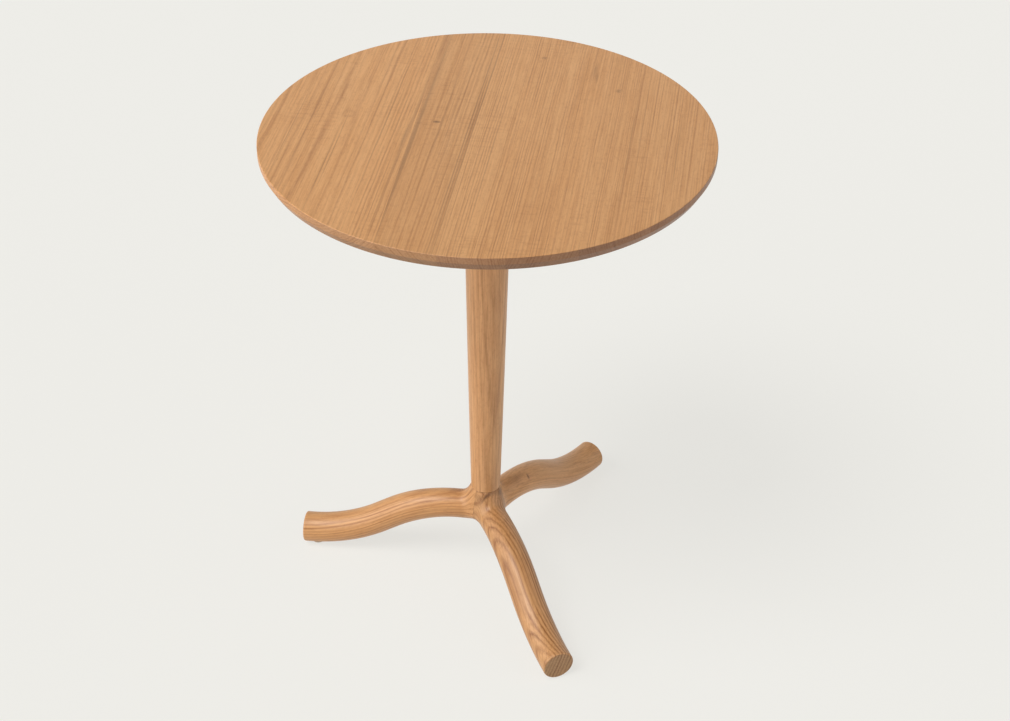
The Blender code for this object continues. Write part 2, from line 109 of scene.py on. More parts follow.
class NodeSheet:
    """A node tree, with a short call for each kind of node that the finishes use."""

    def __init__(self, owner: ID, shader: str = "Principled BSDF") -> None:
        """Opens the node tree of a new material or world.

        Args:
            owner: The material or world.
            shader: The name of the shader node that it starts with.
        """
        owner.use_nodes = True
        self.owner = owner
        self.tree = owner.node_tree
        self.shader = self.tree.nodes[shader]

    def node(self, kind: str, inputs: dict, **settings: object) -> Node:
        """Adds a node.

        Args:
            kind: The node's type.
            inputs: Sockets or plain values for its inputs, by name or number.
            **settings: The node's own settings.

        Returns:
            The new node.
        """
        made = self.tree.nodes.new(kind)
        for setting, value in settings.items():
            setattr(made, setting, value)
        for key, value in inputs.items():
            self.feed(made.inputs[key], value)
        return made

    def feed(self, target: NodeSocket, value: object) -> None:
        """Links a socket into an input, or sets the input to a plain value.

        Args:
            target: The input.
            value: The socket or the plain value.
        """
        if isinstance(value, NodeSocket):
            self.tree.links.new(value, target)
        else:
            target.default_value = value

    def shade(self, values: dict[str, object]) -> None:
        """Feeds the shader's own inputs, given by name."""
        for name, value in values.items():
            self.feed(self.shader.inputs[name], value)

    def maths(self, operation: str, *values: object) -> NodeSocket:
        """Adds a Math node over sockets and plain numbers."""
        return self.node("ShaderNodeMath", dict(enumerate(values)), operation=operation).outputs[0]

    def total(self, start: object, *terms: tuple[NodeSocket, float]) -> NodeSocket:
        """Adds shares of several values to a first one.

        Args:
            start: The first value.
            *terms: Each further value with its share.

        Returns:
            The sum.
        """
        for value, share in terms:
            start = self.maths("MULTIPLY_ADD", value, share, start)
        return start

    def vector(self, operation: str, inputs: dict) -> NodeSocket:
        """Adds a Vector Math node. Gives a number for a length or a dot product, or else a vector."""
        made = self.node("ShaderNodeVectorMath", inputs, operation=operation)
        return made.outputs["Value" if operation in ("LENGTH", "DOT_PRODUCT") else "Vector"]

    def object_place(self) -> NodeSocket:
        """The shaded point's Object coordinates."""
        return self.node("ShaderNodeTexCoord", {}).outputs["Object"]

    def attribute(self, name: str) -> NodeSocket:
        """The value of a mesh attribute at the shaded point."""
        return self.node("ShaderNodeAttribute", {}, attribute_name=name).outputs["Vector"]

    def looked_at(self) -> NodeSocket:
        """Tells what the camera sees, straight, in gloss or through glass, from what only gets light.

        Returns:
            A node value that is 1 for what is seen.
        """
        rays = self.node("ShaderNodeLightPath", {}).outputs
        seen = self.maths("MAXIMUM", rays["Is Camera Ray"], rays["Is Glossy Ray"])
        return self.maths("MAXIMUM", seen, rays["Is Transmission Ray"])

    def framed(
        self, vector: NodeSocket, origin: Point, turn: Point, scale: Point = (1, 1, 1)
    ) -> NodeSocket:
        """The vector as seen from a frame of its own.

        Args:
            vector: A point in Object coordinates.
            origin: The frame's origin.
            turn: The frame's Euler angles.
            scale: What counts as one unit along each of its axes.

        Returns:
            The point in that frame's coordinates.
        """
        inputs = {"Vector": vector, "Location": origin, "Rotation": turn, "Scale": scale}
        return self.node("ShaderNodeMapping", inputs, vector_type="TEXTURE").outputs["Vector"]

    def noise(self, place: NodeSocket, scale: Point, detail: float, roughness: float = 0.5) -> NodeSocket:
        """Soft noise from 0 to 1 about 0.5.

        Args:
            place: The point.
            scale: How often the noise repeats in a metre along each axis.
            detail: How many finer layers are added to it.
            roughness: How strong each of them is beside the one before.

        Returns:
            The noise at the point.
        """
        scaled = self.node("ShaderNodeMapping", {"Vector": place, "Scale": scale}, vector_type="POINT")
        inputs = {"Vector": scaled.outputs[0], "Scale": 1.0, "Detail": detail, "Roughness": roughness}
        return self.node("ShaderNodeTexNoise", inputs).outputs["Fac"]

    def line_noise(self, value: NodeSocket, detail: float) -> NodeSocket:
        """Soft noise along one number."""
        inputs = {"W": value, "Scale": 1.0, "Detail": detail}
        return self.node("ShaderNodeTexNoise", inputs, noise_dimensions="1D").outputs["Fac"]

    def remap(
        self, value: NodeSocket, low: float, high: float, start: float = 0.0, end: float = 1.0,
        smooth: bool = False,
    ) -> NodeSocket:
        """Carries the span from low to high over to the span from start to end, clamped.

        Args:
            value: The number to carry over.
            low: Where the first span starts.
            high: Where it ends.
            start: Where the second span starts.
            end: Where it ends.
            smooth: Eases both ends.

        Returns:
            The number in the second span.
        """
        inputs = {0: value, 1: low, 2: high, 3: start, 4: end}
        kind = "SMOOTHSTEP" if smooth else "LINEAR"
        return self.node("ShaderNodeMapRange", inputs, interpolation_type=kind).outputs[0]

    def ramp(self, value: NodeSocket, stops: tuple[tuple[float, float], ...]) -> NodeSocket:
        """Carries a number over along a smooth curve.

        Args:
            value: The number, from 0 to 1.
            stops: The curve's (place, level) points.

        Returns:
            The curve's level at that number.
        """
        made = self.node("ShaderNodeValToRGB", {0: value})
        made.color_ramp.interpolation = "EASE"
        points = made.color_ramp.elements
        while len(points) < len(stops):
            points.new(0.5)
        for point, (place, level) in zip(points, stops):
            point.position = place
            point.color = (level, level, level, 1.0)
        return made.outputs["Color"]

    def mix(self, share: object, under: object, over: object, blend: str = "MIX") -> NodeSocket:
        """Lays one colour over another.

        Args:
            share: How much of the upper colour shows, from 0 to 1.
            under: The lower colour.
            over: The upper colour.
            blend: How the two are combined.

        Returns:
            The mixed colour.
        """
        colours = [(*c, 1.0) if isinstance(c, tuple) else c for c in (under, over)]
        inputs = {0: share, 6: colours[0], 7: colours[1]}
        return self.node("ShaderNodeMix", inputs, data_type="RGBA", blend_type=blend).outputs[2]

    def bump(self, height: NodeSocket, strength: float, depth: float) -> None:
        """Gives the shader a bump, whose depth is what a height of 1 stands for in metres."""
        made = self.node("ShaderNodeBump", {"Height": height, "Strength": strength, "Distance": depth})
        self.shade({"Normal": made.outputs["Normal"]})

    def uneven_gloss(self, patches: NodeSocket, roughness: float) -> None:
        """Makes the shader a little glossier and a little more matt in patches."""
        self.shade({"Roughness": self.remap(patches, 0.3, 0.7, roughness - 0.06, roughness + 0.08)})

    def show_over(self, share: NodeSocket, other: Node, output: str) -> None:
        """Lays another shader over the tree's own.

        Args:
            share: How much of it shows.
            other: The other shader.
            output: The name of the tree's output node.
        """
        inputs = {0: share, 1: self.shader.outputs[0], 2: other.outputs[0]}
        both = self.node("ShaderNodeMixShader", inputs)
        self.feed(self.tree.nodes[output].inputs["Surface"], both.outputs[0])


@dataclass(frozen=True)
class WoodTones:
    """The colours of one kind of oiled wood."""

    pale: Colour = srgb(214, 162, 109)      # early wood in a light part of the board
    warm: Colour = srgb(204, 147, 92)       # early wood in a darker part
    ring: Colour = srgb(148, 91, 43)        # the dense line that ends a year's growth
    stain_and_shade: Colour = srgb(104, 76, 50)       # mineral streaks, knots, pores, and patches of painted shade
    fibre: Colour = (0.76, 0.70, 0.62)      # what a dark fibre multiplies the colour by
    end_grain: Colour = (0.62, 0.67, 0.78)  # what a cut end multiplies the colour by
    underside: Colour = (0.80, 0.79, 0.78)  # painted shade: what a face that looks down multiplies the colour by

    def at(self, share: float) -> "WoodTones":
        """The same wood at a share of its brightness."""
        return replace(self, pale=shaded(self.pale, share), warm=shaded(self.warm, share))


@dataclass(frozen=True)
class Layer:
    """One layer of noise in a board's figure.

    Attributes:
        along: How often it repeats in a metre along the grain.
        across: How often it repeats in a metre across the grain.
        detail: How many finer layers are added to it.
        roughness: How strong each of them is beside the one before.
        low: The level of the noise at which the layer starts to show.
        high: The level at which it shows in full.
    """

    along: float
    across: float
    detail: float = 2.0
    roughness: float = 0.5
    low: float = 0.0
    high: float = 1.0

    def noise(self, sheet: NodeSheet, board: NodeSocket) -> NodeSocket:
        """The layer's noise at a point in the board's frame."""
        scale = (self.along, self.across, self.across)
        return sheet.noise(board, scale, self.detail, self.roughness)

    def shown(self, sheet: NodeSheet, board: NodeSocket, start: float = 0.0, end: float = 1.0) -> NodeSocket:
        """How strongly the layer shows at a point.

        Args:
            sheet: The material's nodes.
            board: The point in the board's frame.
            start: The value where it doesn't show.
            end: The value where it shows in full.

        Returns:
            A node value from start to end.
        """
        return sheet.remap(self.noise(sheet, board), self.low, self.high, start, end)


SWAY = Layer(4, 15)                               # how the rings wander
WAVER = Layer(20, 190, 3.0, 0.6)                  # how they tremble
FADE = Layer(11, 90, low=0.36, high=0.58)         # where their lines fade
BROAD = Layer(2.5, 28, 3.0, low=0.25, high=0.75)  # paler and warmer parts of the early wood
MOTTLE = Layer(30, 170, 3.0, 0.6, 0.3, 0.7)       # small clouds in it
STREAKS = Layer(6, 620, 2.0, 0.6, 0.48, 0.62)     # long fibres
FIBRES = Layer(40, 820, 2.0, 0.6, 0.42, 0.62)     # fine fibres
FLECKS = Layer(210, 430, 1.0, low=0.54, high=0.68)
PORES = Layer(150, 2300, 1.0, low=0.62, high=0.74)
WAVES = Layer(290, 45, low=0.5, high=0.64)        # short waves across the grain
PATCHES = Layer(10, 18, 1.0, low=0.48, high=0.64)  # where the waves show

RING_PROFILE = ((0, 1), (0.12, 0.7), (0.3, 0.08), (0.58, 0), (0.82, 0.4), (1, 1))  # one year's darkness
WAVER_REACH = 0.25           # how far a ring line trembles, as a share of the pitch
YEAR_CHANGE = 0.43           # how fast wide and narrow years follow each other
FADED = 0.5                  # what is left of a ring line where it fades
MOTTLE_DEPTH = 0.35
PALE_LEVEL = 0.34            # the level of the noise at which a pale streak shows in full
PALE_DEPTH = 0.4             # how strongly pale streaks show beside dark ones
FINE_DEPTH = 0.8             # how strongly fine fibres show beside long ones
PORE_DEPTH = 0.35
CUT_END = (0.55, 0.90)       # how square to the fibres a face is where end grain starts, and where it is full
PAINTED_RIM_SHADE = (0.8, 0.3)        # how far a face looks up where the rim's painted shade starts, and where it is full
PAINTED_UNDERSIDE_SHADE = (-0.1, -0.4)     # the same for the painted shade on faces that look down


@dataclass(frozen=True)
class Blemish:
    """A knot, a stained spot, a dark streak or a patch of painted shade in a board, at its place on the
    table.

    Attributes:
        place: Its centre, in the table's frame or in the leg's course.
        length: How far it reaches along the grain.
        width: How far it reaches across the grain.
        stain_and_shade: How dark it is at the centre, from 0 to 1.
        push: How far it bends the growth rings aside.
        level: Lies along the leg's own X, not along the grain.
    """

    place: Point
    length: float
    width: float
    stain_and_shade: float
    push: float = 0.0
    level: bool = False

    def near(self, sheet: NodeSheet, place: NodeSocket, turn: Point) -> NodeSocket:
        """How near a point is to the blemish.

        Args:
            sheet: The material's nodes.
            place: The point.
            turn: The Euler angles of the board's frame.

        Returns:
            A node value that is 1 at the blemish's centre and 0 outside it.
        """
        reach = (self.length, self.width, self.width)
        lie = (0.0, 0.0, 0.0) if self.level else turn
        offset = sheet.framed(place, self.place, lie, reach)
        return sheet.remap(sheet.vector("LENGTH", {0: offset}), 1.0, 0.0, smooth=True)


@dataclass(frozen=True)
class Figure:
    """The node values that a board's colour and relief are made from."""

    board: NodeSocket       # the point in the board's frame
    line: NodeSocket        # 0 in early wood and up to 1 on a ring line
    streaks: NodeSocket     # the noise of the long fibres
    fibres: NodeSocket      # the noise of the fine fibres
    pores: NodeSocket       # 1 in an open pore
    spots: list[tuple[Blemish, NodeSocket]]   # each blemish with how near the point is to it


@dataclass(frozen=True)
class Board:
    """The figure of one board: how its rings lie, how strong they show, and what spoils them.

    Attributes:
        name: The material's name.
        grain: Direction of the fibres.
        ring_normal: Direction in which the rings follow each other, square to the grain.
        origin: A point in the board, from which the rings are counted.
        course: The mesh attribute that all places and directions are given in, or "" for the table's frame.
        end_axis: The fibres' direction in the table's frame, where that isn't the grain.
        pitch: Distance from one ring to the next.
        phase: Where the first ring lies, in rings.
        pith: Distance from the origin to the middle of the tree.
        sway: How far the rings wander over a hand's breadth.
        uneven: How far wide and narrow years shift the rings, in rings.
        ring_depth: How strongly the ring lines show, from 0 to 1.
        ring_low: How strongly the weakest of them shows beside the strongest.
        fibre_depth: How strongly the fibres show, from 0 to 1.
        fleck_depth: How strongly the small flecks between the fibres show, from 0 to 1.
        wave_depth: How strongly short waves across the grain show in patches, from 0 to 1.
        warmth: Shifts the board from pale to warm, from -0.5 to 0.5.
        rough: How matt the oiled surface is.
        edge: The painted shade that the faces which look sideways or down multiply the colour by.
        blemishes: Knots, stains, streaks and patches of painted shade.
        tones: The colours.
    """

    name: str
    grain: Point
    ring_normal: Point
    origin: Point = (0.0, 0.0, 0.0)
    course: str = ""
    end_axis: Point | None = None
    pitch: float = 0.0040
    phase: float = 0.0
    pith: float = 0.16
    sway: float = 0.0015
    uneven: float = 0.8
    ring_depth: float = 0.5
    ring_low: float = 0.25
    fibre_depth: float = 0.5
    fleck_depth: float = 0.3
    wave_depth: float = 0.0
    warmth: float = 0.0
    rough: float = 0.32
    edge: Colour | None = None
    blemishes: tuple[Blemish, ...] = ()
    tones: WoodTones = WoodTones()

    def turn(self) -> Point:
        """Works out the board's frame, which has X along the grain and Z through the rings.

        Returns:
            The frame's Euler angles.
        """
        along = Vector(self.grain).normalized()
        through = Vector(self.ring_normal)
        through = (through - through.dot(along) * along).normalized()
        across = through.cross(along)
        return tuple(Matrix((along, across, through)).transposed().to_euler())

    def ring_count(
        self, sheet: NodeSheet, board: NodeSocket, sway: NodeSocket, spots: list[tuple[Blemish, NodeSocket]]
    ) -> NodeSocket:
        """Counts rings outwards from the pith, with all that bends them.

        Args:
            sheet: The material's nodes.
            board: The point in the board's frame.
            sway: How far the rings wander here.
            spots: Each blemish with how near the point is to it.

        Returns:
            The ring count, whose whole numbers are the ring lines.
        """
        parts = sheet.node("ShaderNodeSeparateXYZ", {0: board}).outputs
        depth = sheet.maths("ADD", parts[2], self.pith)
        flat = sheet.node("ShaderNodeCombineXYZ", {0: 0.0, 1: parts[1], 2: depth}).outputs[0]
        ripple = self.pitch * WAVER_REACH
        waver = WAVER.shown(sheet, board, -ripple, ripple)
        radius = sheet.vector("LENGTH", {0: flat})
        radius = sheet.maths("ADD", radius, sheet.maths("ADD", sway, waver))
        pushed = [(near, blemish.push) for blemish, near in spots if blemish.push]
        radius = sheet.total(radius, *pushed)
        offset = self.phase - self.pith / self.pitch
        count = sheet.maths("MULTIPLY_ADD", radius, 1 / self.pitch, offset)
        years = sheet.line_noise(sheet.maths("MULTIPLY", count, YEAR_CHANGE), 1.0)
        return sheet.maths("ADD", count, sheet.remap(years, 0, 1, -self.uneven, self.uneven))

    def ring_line(self, sheet: NodeSheet, count: NodeSocket, board: NodeSocket) -> NodeSocket:
        """The dark lines between the years, each with its own strength and fading along the grain.

        Args:
            sheet: The material's nodes.
            count: The ring count.
            board: The point in the board's frame.

        Returns:
            A node value that is 0 in early wood and up to 1 on a line.
        """
        line = sheet.ramp(sheet.maths("FRACT", count), RING_PROFILE)
        year = sheet.maths("FLOOR", sheet.maths("ADD", count, 0.5))
        years = sheet.node("ShaderNodeTexWhiteNoise", {"W": year}, noise_dimensions="1D")
        strength = sheet.remap(years.outputs["Value"], 0, 1, self.ring_low, 1.0)
        line = sheet.maths("MULTIPLY", line, strength)
        return sheet.maths("MULTIPLY", line, FADE.shown(sheet, board, FADED, 1.0))

    def figure(self, sheet: NodeSheet) -> Figure:
        """Lays out the board's rings, fibres, pores and blemishes.

        Args:
            sheet: The material's nodes.

        Returns:
            What the colour and the relief are made from.
        """
        turn = self.turn()
        place = sheet.attribute(self.course) if self.course else sheet.object_place()
        board = sheet.framed(place, self.origin, turn)
        sway = SWAY.shown(sheet, board, -self.sway, self.sway)
        through = tuple(Vector(self.ring_normal).normalized())
        aside = sheet.vector("SCALE", {0: through, "Scale": sway})
        wandered = sheet.vector("ADD", {0: place, 1: aside})
        spots = [(blemish, blemish.near(sheet, wandered, turn)) for blemish in self.blemishes]
        line = self.ring_line(sheet, self.ring_count(sheet, board, sway, spots), board)
        pores = PORES.shown(sheet, board)
        pores = sheet.maths("MULTIPLY", pores, sheet.maths("MULTIPLY_ADD", line, 0.7, 0.3))
        streaks = STREAKS.noise(sheet, board)
        return Figure(board, line, streaks, FIBRES.noise(sheet, board), pores, spots)

    def colour(self, sheet: NodeSheet, figure: Figure) -> NodeSocket:
        """Colours the figure.

        Args:
            sheet: The material's nodes.
            figure: The board's figure.

        Returns:
            The colour of a face along the grain that looks up.
        """
        tones = self.tones
        board = figure.board
        shift = self.warmth * 0.5
        broad = BROAD.noise(sheet, board)
        broad = sheet.remap(broad, BROAD.low + shift, BROAD.high + shift, 1, 0, smooth=True)
        broad = sheet.maths("ADD", broad, MOTTLE.shown(sheet, board, -MOTTLE_DEPTH, MOTTLE_DEPTH))
        colour = sheet.mix(sheet.remap(broad, 0, 1, 0.2, 0.8), tones.pale, tones.warm)
        colour = sheet.mix(sheet.maths("MULTIPLY", figure.line, self.ring_depth), colour, tones.ring)
        dark = sheet.remap(figure.streaks, STREAKS.low, STREAKS.high, 0, self.fibre_depth)
        colour = sheet.mix(dark, colour, tones.fibre, "MULTIPLY")
        bright = sheet.remap(figure.streaks, STREAKS.low, PALE_LEVEL, 0, self.fibre_depth * PALE_DEPTH)
        colour = sheet.mix(bright, colour, tones.pale)
        fine = sheet.remap(figure.fibres, FIBRES.low, FIBRES.high, 0, self.fibre_depth * FINE_DEPTH)
        flecks = FLECKS.shown(sheet, board, 0, self.fleck_depth)
        for share in (fine, flecks):
            colour = sheet.mix(share, colour, tones.fibre, "MULTIPLY")
        colour = sheet.mix(sheet.maths("MULTIPLY", figure.pores, PORE_DEPTH), colour, tones.stain_and_shade)
        if self.wave_depth:
            waves = WAVES.shown(sheet, board, 0, self.wave_depth)
            waves = sheet.maths("MULTIPLY", waves, PATCHES.shown(sheet, board))
            colour = sheet.mix(waves, colour, tones.fibre, "MULTIPLY")
        for blemish, near in figure.spots:
            # each blemish darkens the colour: real marks, and patches of painted shade
            colour = sheet.mix(sheet.maths("MULTIPLY", near, blemish.stain_and_shade), colour, tones.stain_and_shade)
        return colour

    def faced(self, sheet: NodeSheet, colour: NodeSocket) -> tuple[NodeSocket, NodeSocket]:
        """Changes the colour by where a face looks: end grain on cut ends, painted shade on edges and
        undersides.

        Args:
            sheet: The material's nodes.
            colour: The colour of a face along the grain that looks up.

        Returns:
            The changed colour, and a value that is 1 on a cut end.
        """
        normal = sheet.node("ShaderNodeNewGeometry", {}).outputs["Normal"]
        facing = sheet.vector("DOT_PRODUCT", {0: normal, 1: self.end_axis or self.grain})
        cut = sheet.remap(sheet.maths("ABSOLUTE", facing), *CUT_END, smooth=True)
        colour = sheet.mix(cut, colour, self.tones.end_grain, "MULTIPLY")
        if self.edge:
            upward = sheet.node("ShaderNodeSeparateXYZ", {0: normal}).outputs[2]
            # painted shade: faces that look sideways or down take the board's edge tone
            colour = sheet.mix(sheet.remap(upward, *PAINTED_RIM_SHADE), colour, self.edge, "MULTIPLY")
            # painted shade: faces that look down are darkened further
            colour = sheet.mix(sheet.remap(upward, *PAINTED_UNDERSIDE_SHADE), colour, self.tones.underside, "MULTIPLY")
        return colour, cut

    def material(self) -> Material:
        """Builds the board's material.

        Returns:
            A Principled material with the board's rings, fibres, pores, end grain and blemishes.
        """
        sheet = NodeSheet(bpy.data.materials.new(self.name))
        figure = self.figure(sheet)
        colour, cut = self.faced(sheet, self.colour(sheet, figure))
        rough = sheet.total(self.rough, (figure.streaks, 0.16), (figure.pores, 0.2), (cut, 0.15))
        relief = sheet.total(
            0.0, (figure.streaks, 0.5), (figure.fibres, 0.5), (figure.pores, -0.8), (figure.line, -0.25)
        )
        sheet.shade({"Base Color": colour, "Roughness": rough})
        sheet.bump(relief, 0.35, 0.0001)
        return sheet.owner


@dataclass(frozen=True)
class MetalFinish:
    """Machined, plated or blacked metal, with fine scratches and a slightly uneven coat.

    Attributes:
        name: The material's name.
        colour: The coat's colour.
        worn: Its colour where it is thin.
        metallic: 1 for bare or plated metal.
        roughness: How matt it is.
        grain: Size of one patch of the coat.
    """

    name: str
    colour: Colour
    worn: Colour
    metallic: float = 1.0
    roughness: float = 0.35
    grain: float = 0.004

    def material(self) -> Material:
        """Builds the metal's material.

        Returns:
            A Principled material with patches in its coat and fine upright scratches.
        """
        sheet = NodeSheet(bpy.data.materials.new(self.name))
        place = sheet.object_place()
        patches = sheet.noise(place, (1 / self.grain,) * 3, 4.0, 0.6)
        scratches = sheet.noise(place, (6 / self.grain, 6 / self.grain, 0.5 / self.grain), 2.0)
        colour = sheet.mix(sheet.remap(patches, 0.4, 0.75), self.colour, self.worn)
        sheet.shade({"Base Color": colour, "Metallic": self.metallic})
        sheet.uneven_gloss(patches, self.roughness)
        sheet.bump(scratches, 0.15, 0.00004)
        return sheet.owner


@dataclass(frozen=True)
class PlasticFinish:
    """Moulded nylon with a fine eroded grain."""

    name: str
    colour: Colour
    scuffed: Colour
    roughness: float = 0.55
    grain: float = 0.0005

    def material(self) -> Material:
        """Builds the nylon's material.

        Returns:
            A Principled material with a grained skin and larger scuffs.
        """
        sheet = NodeSheet(bpy.data.materials.new(self.name))
        place = sheet.object_place()
        skin = sheet.noise(place, (1 / self.grain,) * 3, 2.0)
        scuffs = sheet.noise(place, (0.15 / self.grain,) * 3, 4.0, 0.65)
        sheet.shade({"Base Color": sheet.mix(sheet.remap(scuffs, 0.5, 0.8), self.colour, self.scuffed)})
        sheet.uneven_gloss(skin, self.roughness)
        sheet.bump(skin, 0.25, 0.00005)
        return sheet.owner


def placed(name: str, data: ID) -> Object:
    """Puts an object into the scene.

    Args:
        name: The object's name.
        data: Its mesh, lamp or lens.

    Returns:
        The new object.
    """
    made = bpy.data.objects.new(name, data)
    bpy.context.scene.collection.objects.link(made)
    return made


def own_mesh(bm: BMesh, name: str) -> Mesh:
    """Turns a finished bmesh into a mesh with smooth faces and sharp corners.

    Args:
        bm: The shape, which is used up.
        name: The mesh's name.

    Returns:
        The mesh.
    """
    bmesh.ops.recalc_face_normals(bm, faces=bm.faces)
    mesh = bpy.data.meshes.new(name)
    bm.to_mesh(mesh)
    bm.free()
    mesh.shade_smooth()
    mesh.set_sharp_from_angle(angle=SMOOTH_ANGLE)
    return mesh


def add_piece(bm: BMesh, name: str, material: Material, slot: str, *nodes: str) -> None:
    """Makes a piece of the table from a bmesh and says what it stands for.

    Args:
        bm: The piece's shape, in place.
        name: The piece's name.
        material: Its finish.
        slot: The record's material slot, which is not used.
        *nodes: The CAD nodes that it replaces.
    """
    piece = placed(name, own_mesh(bm, name))
    piece.data.materials.append(material)
    weighted = piece.modifiers.new("even shading", "WEIGHTED_NORMAL")
    weighted.keep_sharp = True
    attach(piece, BODY)
    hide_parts(*nodes)
    log.info("%s: %d faces, for %s", name, len(piece.data.polygons), ", ".join(nodes))


def carved(bm: BMesh, cutter: BMesh) -> BMesh:
    """Takes one shape out of another.

    Args:
        bm: The closed shape to cut, which is used up.
        cutter: The closed shape to take out of it, which is used up.

    Returns:
        The cut shape.
    """
    blank = placed("blank", own_mesh(bm, "blank"))
    tool = placed("tool", own_mesh(cutter, "tool"))
    cut = blank.modifiers.new("cut", "BOOLEAN")
    cut.operation = "DIFFERENCE"
    cut.object = tool
    shape = bmesh.new()
    shape.from_object(blank, bpy.context.evaluated_depsgraph_get())
    for used in (blank, tool):
        mesh = used.data
        bpy.data.objects.remove(used)
        bpy.data.meshes.remove(mesh)
    bmesh.ops.remove_doubles(shape, verts=shape.verts, dist=TOUCHING)
    return shape


def only(geometry: list, kind: type) -> list:
    """The vertices, edges or faces of an operator's result."""
    return [item for item in geometry if isinstance(item, kind)]


def grown(bm: BMesh, edges: list[BMEdge]) -> tuple[list[BMVert], list[BMEdge]]:
    """Extrudes a ring of edges by nothing, and gives the new ring, ready to be moved."""
    geometry = bmesh.ops.extrude_edge_only(bm, edges=edges)["geom"]
    return only(geometry, BMVert), only(geometry, BMEdge)


def rounded(bm: BMesh, edges: list[BMEdge], width: float, segments: int = ROUND_SEGMENTS) -> None:
    """Rounds edges off, starting at a width from each."""
    bmesh.ops.bevel(
        bm, geom=edges, offset=width, offset_type="OFFSET", affect="EDGES", segments=segments, profile=0.5,
        material=-1, clamp_overlap=True,
    )


def level_edges(bm: BMesh, height: float) -> list[BMEdge]:
    """The edges that lie level at a height."""
    return [edge for edge in bm.edges if all(abs(vert.co.z - height) < LEVEL for vert in edge.verts)]


def disc(radius: float, bottom: float, top: float, segments: int) -> BMesh:
    """Makes a round blank with its axis on Z.

    Args:
        radius: Its radius.
        bottom: The height of its lower face.
        top: The height of its upper face.
        segments: The number of sides.

    Returns:
        The blank.
    """
    bm = bmesh.new()
    place = Matrix.Translation((0, 0, (bottom + top) / 2))
    bmesh.ops.create_cone(
        bm, cap_ends=True, segments=segments, radius1=radius, radius2=radius, depth=top - bottom, matrix=place
    )
    return bm


@dataclass(frozen=True)
class StaveCut:
    """How one stave of the top was cut, and how dark it is."""

    lean: float                 # how far its rings lean out of the upright, in degrees
    pitch: float                # distance from one ring to the next
    warmth: float               # shifts the stave from pale to warm
    shade: float                # its share of the wood's brightness
    edge: Colour                # painted shade: what its rim multiplies the colour by
    ring_depth: float = 0.64    # how strongly its ring lines show
    ring_low: float = 0.18      # how strongly the weakest of them shows beside the strongest


# The edge tones are painted shade on the rim, deepest on the staves at the right.
STAVES = (
    StaveCut(24, 0.0031, 0.04, 1.05, (0.96, 0.94, 0.98), 0.52, 0.40),
    StaveCut(-18, 0.0027, -0.02, 1.05, (0.93, 0.90, 0.95), 0.52, 0.35),
    StaveCut(32, 0.0029, 0.16, 0.96, (0.95, 0.92, 0.95), ring_low=0.20),
    StaveCut(12, 0.0026, -0.10, 0.99, (0.81, 0.76, 0.82)),
    StaveCut(-26, 0.0030, 0.0, 0.98, (0.69, 0.64, 0.71)),
    StaveCut(20, 0.0028, 0.06, 0.955, (0.61, 0.56, 0.65)),
    StaveCut(-12, 0.0032, 0.12, 0.945, (0.52, 0.46, 0.50)),
)


